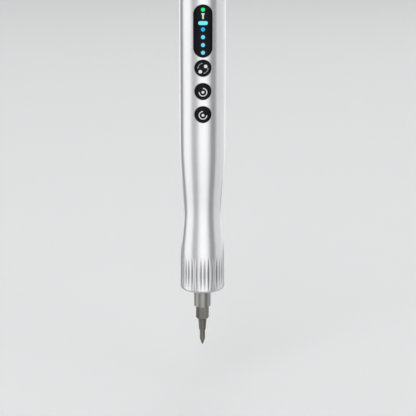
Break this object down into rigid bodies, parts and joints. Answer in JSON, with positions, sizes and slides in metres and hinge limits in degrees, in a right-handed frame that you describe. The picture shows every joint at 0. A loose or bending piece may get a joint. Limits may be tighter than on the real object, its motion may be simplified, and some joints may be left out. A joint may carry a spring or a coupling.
{
  "type": "electric torque screwdriver",
  "caption": "Pen-shaped electric torque screwdriver with a fluted nose, waisted grip, magnetic hexagon bit, push buttons, light display and rear charging port.",
  "frame": {"origin": "the point of the bit, on the tool's axis, at the centre of the bottom of the bounding box", "axes": "+Z along the axis from the bit to the charging port, -Y towards the buttons and display, +X to the right when they face the viewer"},
  "size_m": [0.016, 0.016, 0.1889],
  "materials": {
    "anodised_aluminium": "bright satin anodised aluminium",
    "satin_steel": "satin nickel-plated steel",
    "bit_steel": "satin tool steel",
    "gear_steel": "sintered steel",
    "bronze": "sintered bronze",
    "brass": "machined brass",
    "nickel": "nickel plate",
    "gear_plastic": "natural acetal",
    "black_plastic": "black moulded plastic",
    "grey_plastic": "dark grey moulded plastic",
    "gloss_black": "polished black",
    "window_black": "polished smoked black",
    "green_light": "lit green",
    "cyan_light": "lit cyan",
    "blue_light": "lit blue",
    "circuit_board": "green solder mask",
    "battery_sleeve": "blue shrink sleeve",
    "white_print": "white print on the buttons and display",
    "grey_print": "grey print on the mode button"
  },
  "bodies": {
    "housing": {"body_tube": "anodised_aluminium", "rear_cap": "anodised_aluminium", "spindle_bush": "bronze", "ring_gear": "gear_steel", "motor_can": "satin_steel", "motor_end_cap": "black_plastic", "motor_terminals": "brass", "motor_ribbons": "nickel", "main_board": "circuit_board", "board_chips": "black_plastic", "switch_bodies": "nickel", "display_window": "window_black", "status_led": "green_light", "bar_led": "cyan_light", "level_leds": "blue_light", "light_baffle": "black_plastic", "sled": "grey_plastic", "battery_cell": "battery_sleeve", "battery_strip_front": "nickel", "battery_strip_rear": "nickel", "charge_strip": "nickel", "port_shell": "nickel", "port_tongue": "black_plastic", "port_board": "circuit_board"},
    "spindle": {"spindle": "satin_steel", "carrier": "gear_steel", "bit_magnet": "nickel"},
    "rotor": {"motor_shaft": "gear_steel", "sun_gear": "brass"},
    "planet_a": {"planet_gear_a": "gear_plastic"},
    "planet_b": {"planet_gear_b": "gear_plastic"},
    "planet_c": {"planet_gear_c": "gear_plastic"},
    "bit": {"bit": "bit_steel"},
    "mode_button": {"mode_button": "gloss_black"},
    "forward_button": {"forward_button": "gloss_black"},
    "reverse_button": {"reverse_button": "gloss_black"}
  },
  "joints": [
    {"name": "spindle_spin", "type": "hinge", "parent": "housing", "child": "spindle", "pos_m": [0, 0, 0.0288], "axis": [0, 0, 1], "continuous": true},
    {"name": "rotor_spin", "type": "hinge", "parent": "housing", "child": "rotor", "pos_m": [0, 0, 0.0408], "axis": [0, 0, 1], "continuous": true},
    {"name": "planet_a_spin", "type": "hinge", "parent": "spindle", "child": "planet_a", "pos_m": [0.00288, 0, 0.038], "axis": [0, 0, 1], "continuous": true},
    {"name": "planet_b_spin", "type": "hinge", "parent": "spindle", "child": "planet_b", "pos_m": [-0.00144, 0.00249, 0.038], "axis": [0, 0, 1], "continuous": true},
    {"name": "planet_c_spin", "type": "hinge", "parent": "spindle", "child": "planet_c", "pos_m": [-0.00144, -0.00249, 0.038], "axis": [0, 0, 1], "continuous": true},
    {"name": "bit_slide", "type": "slide", "parent": "spindle", "child": "bit", "axis": [0, 0, -1], "range_m": [0, 0.0137]},
    {"name": "mode_press", "type": "slide", "parent": "housing", "child": "mode_button", "axis": [0, 1, 0], "range_m": [0, 0.00025], "stiffness_N_per_m": 2000, "springref_m": -0.0003},
    {"name": "forward_press", "type": "slide", "parent": "housing", "child": "forward_button", "axis": [0, 1, 0], "range_m": [0, 0.00025], "stiffness_N_per_m": 2000, "springref_m": -0.0003},
    {"name": "reverse_press", "type": "slide", "parent": "housing", "child": "reverse_button", "axis": [0, 1, 0], "range_m": [0, 0.00025], "stiffness_N_per_m": 2000, "springref_m": -0.0003}
  ],
  "couplings": [
    {"joint": "rotor_spin", "follows": "spindle_spin", "ratio": 4},
    {"joint": "planet_a_spin", "follows": "spindle_spin", "ratio": -3},
    {"joint": "planet_b_spin", "follows": "spindle_spin", "ratio": -3},
    {"joint": "planet_c_spin", "follows": "spindle_spin", "ratio": -3}
  ]
}
